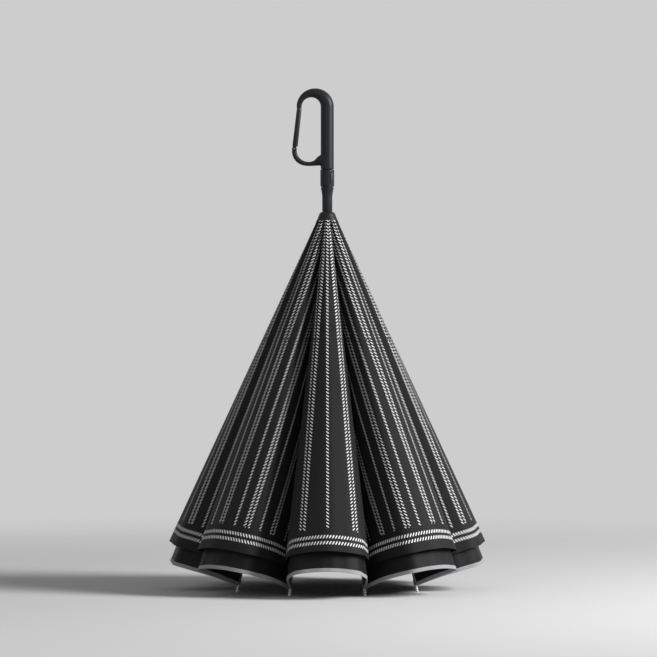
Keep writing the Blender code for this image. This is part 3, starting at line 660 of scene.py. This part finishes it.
def print_number(panel, signed_share, depth):
    """The number of the printed line at a place across a gore, and the share that one number spans."""
    if signed_share > 1:
        return (signed_share - 1) * tuck_lines, tuck_arc / half_arc / tuck_lines
    flip = -1 if panel in mirrored else 1
    rise = hem_depth / depth - 1
    knots = [(share + drift * rise, number)
             for share, number, drift in mirrored.get(panel) or prints.get(panel, regular_print)]
    at = signed_share * flip
    place = 1
    while place < len(knots) - 1 and knots[place][0] < at:
        place += 1
    slopes = []
    for index in (place - 1, place):
        before, after = knots[max(index - 1, 0)], knots[min(index + 1, len(knots) - 1)]
        slopes.append((after[1] - before[1]) / (after[0] - before[0]))
    (x0, y0), (x1, y1) = knots[place - 1], knots[place]
    width = x1 - x0
    t = (at - x0) / width
    value = (y0 * (1 + 2 * t) * (1 - t) ** 2 + y1 * t * t * (3 - 2 * t)
             + width * (slopes[0] * t * (1 - t) ** 2 - slopes[1] * t * t * (1 - t)))
    slope = ((y1 - y0) * 6 * t * (1 - t) / width + slopes[0] * (1 - t) * (1 - 3 * t)
             + slopes[1] * t * (3 * t - 2))
    if not 0 <= t <= 1:
        value, slope = y0 + (y1 - y0) * t, (y1 - y0) / width
    return value * flip, 1 / max(abs(slope), 0.6)


def lean_of_dashes(panel, number):
    """Which way a line's dashes lean: 1 falls to the right and -1 rises to it, as seen from outside."""
    if panel in (4, 5):
        return -1
    if panel in (7, 8):
        return 1
    return -1 if number > 0.5 else 1


def lean_of_rings(panel):
    """Which way the hem rings' dashes lean."""
    return -1 if panel in (5, 8) else 1


def cloth_grid(columns, rows):
    """A flat grid whose x runs from 0 to 1 across the cloth and y from 0 to 1 down it."""
    work = bmesh.new()
    bmesh.ops.create_grid(work, x_segments=columns, y_segments=rows, size=0.5, calc_uvs=True,
                          matrix=Matrix.Translation((0.5, 0.5, 0)))
    return work


def thicken(piece, thickness, material):
    """Give a cloth its thickness, inward, and its smooth look with crisp cut edges."""
    change = piece.modifiers.new("thickness", "SOLIDIFY")
    change.thickness = thickness
    change.offset = -1
    settle(piece)
    piece.data.materials.clear()
    piece.data.materials.append(material)
    piece.data.shade_smooth()
    piece.data.set_sharp_from_angle(angle=math.radians(50))
    return piece


def outward(work, bearing):
    """Turn the cloth's faces to look away from the shaft."""
    bmesh.ops.recalc_face_normals(work, faces=work.faces)
    out = Vector((math.cos(bearing), math.sin(bearing), 0))
    balance = sum(face.normal.dot(out) * face.calc_area() for face in work.faces)
    if balance < 0:
        bmesh.ops.reverse_faces(work, faces=work.faces)


front_panel = 6
ring_lift = 5


def write_print(piece, flat):
    """Store at each point what the print needs; flat holds (panel, signed share, depth, hem height)."""
    names = ("print_number", "print_pitch", "print_down", "print_above_hem", "print_across", "print_lean",
             "print_ring_lean")
    columns = {name: [] for name in names}
    stretch = math.hypot(1, crest_slope)
    for panel, signed_share, depth, hem in flat:
        number, span = print_number(panel, signed_share, depth)
        columns["print_number"].append(number)
        columns["print_pitch"].append(span * half_arc * depth * 1000)
        columns["print_down"].append(depth * stretch * 1000)
        above = (apex_height - hem - depth) * stretch * 1000
        columns["print_above_hem"].append(above - (0 if panel == front_panel else ring_lift))
        across = (signed_share - 1) * tuck_arc if signed_share > 1 else signed_share * half_arc
        columns["print_across"].append(across * hem_depth * 1000)
        columns["print_lean"].append(lean_of_dashes(panel, number))
        columns["print_ring_lean"].append(lean_of_rings(panel))
    for name, values in columns.items():
        piece.data.attributes.new(name, "FLOAT", "POINT").data.foreach_set("value", values)


pongee = bpy.data.materials.new("pongee_printed")
pongee.use_nodes = True
tree = pongee.node_tree
shader = tree.nodes["Principled BSDF"]


def field(name):
    """A value stored on the cloth's points."""
    return add(tree, "ShaderNodeAttribute", {}, attribute_name=name).outputs["Fac"]


def reckon(operation, first, second=0.0, third=0.0):
    """One step of arithmetic in the print."""
    return add(tree, "ShaderNodeMath", {0: first, 1: second, 2: third}, operation=operation)


dash_edge = 0.12


def dash(across, down, lean, pitch, angle, half_length, radius):
    """Cover, 0 to 1, of round-ended dashes that lean by an angle and repeat down a line."""
    run = reckon("MULTIPLY", across, lean)
    near = reckon("WRAP", reckon("MULTIPLY_ADD", run, -1 / math.tan(angle), down), pitch / 2, -pitch / 2)
    aside = reckon("MULTIPLY", near, math.sin(angle))
    along = reckon("MULTIPLY_ADD", near, math.cos(angle), reckon("DIVIDE", run, math.sin(angle)))
    past = reckon("MAXIMUM", reckon("SUBTRACT", reckon("ABSOLUTE", along), half_length), 0.0)
    away = reckon("SQRT", reckon("ADD", reckon("MULTIPLY", past, past), reckon("MULTIPLY", aside, aside)))
    return add(tree, "ShaderNodeMapRange", {"Value": away, "From Min": radius - dash_edge,
                                            "From Max": radius + dash_edge, "To Min": 1.0, "To Max": 0.0})


number = field("print_number")
pitch = field("print_pitch")
down = field("print_down")
above_hem = field("print_above_hem")
lean = reckon("SIGN", field("print_lean"))
to_single = reckon("WRAP", number, 1.0, -1.0)
to_pair = reckon("WRAP", reckon("ADD", number, 1.0), 1.0, -1.0)
is_single = reckon("LESS_THAN", reckon("ABSOLUTE", to_single), 0.5)
pair_side = reckon("SIGN", to_pair)
widest_half_gap = 3.2
half_gap = reckon("MINIMUM", reckon("MULTIPLY", pitch, 0.42), widest_half_gap)
from_pair = reckon("SUBTRACT", reckon("MULTIPLY", to_pair, pitch), reckon("MULTIPLY", pair_side, half_gap))
from_single = reckon("MULTIPLY", to_single, pitch)
from_line = add(tree, "ShaderNodeMix", {0: is_single, 2: from_pair, 3: from_single})
lines_end = 36.5
lines = dash(from_line, down, lean, 5.6, math.radians(49), 1.9, 0.68)
lines = reckon("MULTIPLY", lines, reckon("GREATER_THAN", above_hem, lines_end))

rings_middle = 18.7
half_ring_gap = 5.0
middle = reckon("SUBTRACT", above_hem, rings_middle)
row = reckon("SUBTRACT", middle, reckon("MULTIPLY", reckon("SIGN", middle), half_ring_gap))
rings = dash(row, field("print_across"), field("print_ring_lean"), 4.9, math.radians(60), 2.3, 0.85)
rings = reckon("MULTIPLY", rings, reckon("LESS_THAN", reckon("ABSOLUTE", row), 4.0))
ink = reckon("MAXIMUM", lines, rings)


hole_radius = 1.45
hole_aside = 3.4
hole_along = 4.7
hole_edge = 0.1


def hole(across, down):
    """Cover, 0 to 1, of a five-hole group of air holes, one in its middle and four round it, where the colour
    is painted shade.
    """
    aside, along = reckon("ABSOLUTE", across), reckon("ABSOLUTE", down)
    outer_a, outer_b = reckon("SUBTRACT", aside, hole_aside), reckon("SUBTRACT", along, hole_along)
    outer = reckon("ADD", reckon("MULTIPLY", outer_a, outer_a), reckon("MULTIPLY", outer_b, outer_b))
    inner = reckon("ADD", reckon("MULTIPLY", aside, aside), reckon("MULTIPLY", along, along))
    away = reckon("SQRT", reckon("MINIMUM", outer, inner))
    return add(tree, "ShaderNodeMapRange", {"Value": away, "From Min": hole_radius - hole_edge,
                                            "From Max": hole_radius + hole_edge, "To Min": 1.0,
                                            "To Max": 0.0})


upper_holes_down = 225.0
lower_holes_down = 250.0
upper = hole(reckon("MULTIPLY", reckon("SUBTRACT", reckon("ABSOLUTE", number), 0.5), pitch),
             reckon("SUBTRACT", down, upper_holes_down))
beside = reckon("MULTIPLY", reckon("SUBTRACT", number, reckon("ROUND", number)), pitch)
lower = hole(beside, reckon("SUBTRACT", down, lower_holes_down))
lower = reckon("MULTIPLY", lower, reckon("LESS_THAN", reckon("ABSOLUTE", number), 1.45))
holes = reckon("MAXIMUM", upper, lower)

weave_place = add(tree, "ShaderNodeUVMap", {}, uv_map="cloth")
twill = add(tree, "ShaderNodeTexWave", {"Vector": weave_place, "Scale": 700.0, "Distortion": 1.2,
                                        "Detail": 2.0, "Detail Scale": 1.5}, bands_direction="DIAGONAL")
slub = add(tree, "ShaderNodeTexNoise", {"Vector": weave_place, "Scale": 260.0, "Detail": 5.0,
                                        "Roughness": 0.65})
cloudy = add(tree, "ShaderNodeTexNoise", {"Vector": weave_place, "Scale": 14.0, "Detail": 3.0})
thread = add(tree, "ShaderNodeMix", {0: slub, 6: colour("#151516"), 7: colour("#272729")}, data_type="RGBA")
tinted = add(tree, "ShaderNodeMix", {0: cloudy, 6: thread.outputs[2], 7: colour("#1c1c1e")}, data_type="RGBA")
inked = add(tree, "ShaderNodeMix", {0: ink, 6: tinted.outputs[2], 7: colour("#f4f4f3")}, data_type="RGBA")
# Painted shade: the air holes are not cut through the cloth but coloured near black for the dark seen through
# them.
hole_shaded = add(tree, "ShaderNodeMix", {0: holes, 6: inked.outputs[2], 7: colour("#050505")}, data_type="RGBA")
tree.links.new(hole_shaded.outputs[2], shader.inputs["Base Color"])
rough = add(tree, "ShaderNodeMapRange", {"Value": ink, "To Min": 0.62, "To Max": 0.5})
tree.links.new(rough.outputs[0], shader.inputs["Roughness"])
shader.inputs["Specular IOR Level"].default_value = 0.12
shader.inputs["Sheen Weight"].default_value = 0.03
shader.inputs["Sheen Roughness"].default_value = 0.4
relief = reckon("MULTIPLY_ADD", twill.outputs["Fac"], 0.35, reckon("MULTIPLY_ADD", ink, 0.8,
                                                                  reckon("MULTIPLY", slub, 0.9)))
bump = add(tree, "ShaderNodeBump", {"Height": relief, "Strength": 0.25, "Distance": 0.0003})
tree.links.new(bump.outputs[0], shader.inputs["Normal"])


def write_cloth_map(piece, flat):
    """A UV map in metres of the flat cloth, for its weave."""
    stretch = math.hypot(1, crest_slope)
    layer = piece.data.uv_layers.get("cloth") or piece.data.uv_layers.new(name="cloth")
    for loop in piece.data.loops:
        panel, signed_share, depth, hem = flat[loop.vertex_index]
        layer.data[loop.index].uv = (signed_share * half_arc * depth, depth * stretch)


fold_share = 0.342
fold_step = 0.03


def bend_at_fold(piece, letter, panel):
    """Work out the fold line between a half gore's flank and its crest, and bake the piece's transform into
    its mesh.
    """
    sign = 1 if letter == "r" else -1
    at = cloth_point(panel, sign * fold_share, hem_depth, 0)
    ahead = cloth_point(panel, sign * (fold_share - fold_step), hem_depth, 0)
    behind = cloth_point(panel, sign * (fold_share + fold_step), hem_depth, 0)
    fold = (at - Vector((0, 0, apex_height))).normalized()
    across = ahead - behind
    across = (across - fold * across.dot(fold)).normalized()
    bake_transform(piece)


def half_gore(name, panel, shares, rows, edges, inward, thickness, material, printed):
    """One cloth of a half gore. At a share, edges gives the depths of its top and hem; inward says
    how far inside the outer cloth it lies."""
    work = cloth_grid(40, rows)
    flat = []
    for vertex in work.verts:
        signed_share = shares[0] + (shares[1] - shares[0]) * vertex.co.x
        top, bottom = edges(signed_share)
        depth = top + (bottom - top) * vertex.co.y
        vertex.co = cloth_point(panel, signed_share, depth, inward(signed_share, depth))
        flat.append((panel, signed_share, depth, apex_height - bottom))
    outward(work, math.radians(45 * panel))
    piece = new_piece(name, work)
    if printed:
        write_print(piece, flat)
    write_cloth_map(piece, flat)
    return thicken(piece, thickness, material)


def from_crest(signed_share):
    """How far a place is from the crest towards its rib; the tuck counts as the crest."""
    return 0 if signed_share > 1 else abs(signed_share)


def printed_edges(signed_share):
    """The depths of the printed layer's top and hem."""
    return start_depth, apex_height - printed_hem(from_crest(signed_share))


def printed_inward(signed_share, depth):
    """The printed layer is the outer one."""
    return 0


def cloths_of(panel):
    """The (letter, shares, rib) of a panel's two half gores and of its tuck, which starts past 1."""
    return ("l", (-1, 0), panel), ("r", (0, 1), panel % 8 + 1), ("l", (1.0001, 2), panel)


cloth_thickness = 0.0003
for panel in range(1, 9):
    for letter, shares, rib in cloths_of(panel):
        tuck = shares[1] == 2
        name = f"printed_tuck_{rib}" if tuck else f"printed_gore_{letter}_{rib}"
        piece = half_gore(name, panel, shares, 72, printed_edges, printed_inward, cloth_thickness,
                          pongee, True)
        bend_at_fold(piece, letter, panel)
        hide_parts(f"crest_{letter}_{rib}", *([] if tuck else [f"flank_{letter}_{rib}"]))


# Plain canopy: the black rain layer under the printed one, about three centimetres longer
# and drawn in a little below the printed hem. Its hem is bound with a grey tape.
plain_crest_hem = 0.0455
plain_hem_drop = 0.0352
plain_hem_power = 1.9
plain_start_drop = 0.002
layer_gap = 0.0012
drawn_in = 0.0135
drawn_run = 0.07


def plain_edges(signed_share):
    """The depths of the plain layer's top and hem."""
    share = from_crest(signed_share)
    hem = apex_height - plain_crest_hem + plain_hem_drop * share ** plain_hem_power
    return start_depth + plain_start_drop, hem


def plain_inward(signed_share, depth):
    """How far the plain layer lies inside the printed one: by most where it comes out below its hem."""
    share = from_crest(signed_share)
    hem = apex_height - printed_hem(share)
    run = min(max((depth - hem + drawn_run) / drawn_run, 0), 1)
    below = min(max((depth - hem) / 0.03, 0), 1)
    return layer_gap + (1 - share) * (drawn_in * run * run * (3 - 2 * run) + 0.002 * below)


taffeta = bpy.data.materials.new("polyester_taffeta_black")
taffeta.use_nodes = True
tree = taffeta.node_tree
shader = tree.nodes["Principled BSDF"]
weave_place = add(tree, "ShaderNodeUVMap", {}, uv_map="cloth")
slub = add(tree, "ShaderNodeTexNoise", {"Vector": weave_place, "Scale": 300.0, "Detail": 5.0,
                                        "Roughness": 0.65})
weave = add(tree, "ShaderNodeTexWave", {"Vector": weave_place, "Scale": 620.0, "Distortion": 0.8,
                                        "Detail": 1.0}, bands_direction="X")
tinted = add(tree, "ShaderNodeMix", {0: slub, 6: colour("#0f0f10"), 7: colour("#1a1a1b")}, data_type="RGBA")
tree.links.new(tinted.outputs[2], shader.inputs["Base Color"])
rough = add(tree, "ShaderNodeMapRange", {"Value": slub, "To Min": 0.45, "To Max": 0.6})
tree.links.new(rough.outputs[0], shader.inputs["Roughness"])
shader.inputs["Specular IOR Level"].default_value = 0.12
shader.inputs["Sheen Weight"].default_value = 0.03
relief = add(tree, "ShaderNodeMath", {0: slub, 1: weave.outputs["Fac"]}, operation="ADD")
bump = add(tree, "ShaderNodeBump", {"Height": relief, "Strength": 0.2, "Distance": 0.0003})
tree.links.new(bump.outputs[0], shader.inputs["Normal"])

tape = bpy.data.materials.new("grosgrain_binding_grey")
tape.use_nodes = True
tree = tape.node_tree
shader = tree.nodes["Principled BSDF"]
weave_place = add(tree, "ShaderNodeUVMap", {}, uv_map="cloth")
ribbing = add(tree, "ShaderNodeTexWave", {"Vector": weave_place, "Scale": 420.0}, bands_direction="X")
fuzz = add(tree, "ShaderNodeTexNoise", {"Vector": weave_place, "Scale": 700.0, "Detail": 3.0})
mixed = add(tree, "ShaderNodeMath", {0: ribbing.outputs["Fac"], 1: fuzz}, operation="MULTIPLY")
tinted = add(tree, "ShaderNodeMix", {0: mixed, 6: colour("#88888b"), 7: colour("#b4b4b7")}, data_type="RGBA")
tree.links.new(tinted.outputs[2], shader.inputs["Base Color"])
shader.inputs["Roughness"].default_value = 0.8
bump = add(tree, "ShaderNodeBump", {"Height": ribbing.outputs["Fac"], "Strength": 0.3, "Distance": 0.0003})
tree.links.new(bump.outputs[0], shader.inputs["Normal"])


tape_width = 0.005
tape_overhang = 0.0004


def tape_edges(signed_share):
    """The binding's upper and lower edge; square to the hem it is 5.5 mm wide."""
    hem = plain_edges(signed_share)[1]
    share = from_crest(signed_share)
    slope = plain_hem_drop * plain_hem_power * share ** (plain_hem_power - 1) / (half_arc * hem_depth)
    return hem - tape_width * math.hypot(1, slope), hem + tape_overhang


def tape_inward(signed_share, depth):
    """The binding wraps the plain layer's edge, so its outer face lies a little outside it."""
    return plain_inward(signed_share, min(depth, plain_edges(signed_share)[1])) - tape_overhang


tape_thickness = 0.0011
for panel in range(1, 9):
    for letter, shares, rib in cloths_of(panel):
        tuck = shares[1] == 2
        end = f"tuck_{rib}" if tuck else f"gore_{letter}_{rib}"
        plain = half_gore("plain_" + end, panel, shares, 76, plain_edges, plain_inward, cloth_thickness,
                          taffeta, False)
        binding = half_gore("binding_" + end, panel, shares, 3, tape_edges, tape_inward, tape_thickness,
                            tape, False)
        depth = apex_height - plain_crest_hem
        for piece in (plain, binding):
            bend_at_fold(piece, letter, panel)


# Neck of the canopy: where the gores are gathered and glued into the cap, a short collar of the
# printed cloth that keeps the gores' lobes. It stays with the runner when the gores swing out.
neck_cloth_top = 0.5935
neck_cloth_bottom = 0.5832
neck_outward = 0.0002
work = cloth_grid(8 * 24, 5)
flat = []
for vertex in work.verts:
    turn = vertex.co.x * 8
    panel = min(int(turn), 7) + 1
    signed_share = (turn - (panel - 1)) * 2 - 1
    depth = apex_height - neck_cloth_top + (neck_cloth_top - neck_cloth_bottom) * vertex.co.y
    vertex.co = cloth_point(panel, signed_share, depth, -neck_outward)
    flat.append((panel, signed_share, depth, crest_hem))
for face in work.faces:
    middle = face.calc_center_median()
    if face.normal.x * middle.x + face.normal.y * middle.y < 0:
        face.normal_flip()
neck = new_piece("canopy_neck", work)
write_print(neck, flat)
write_cloth_map(neck, flat)
thicken(neck, cloth_thickness, pongee)
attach(neck, "runner")
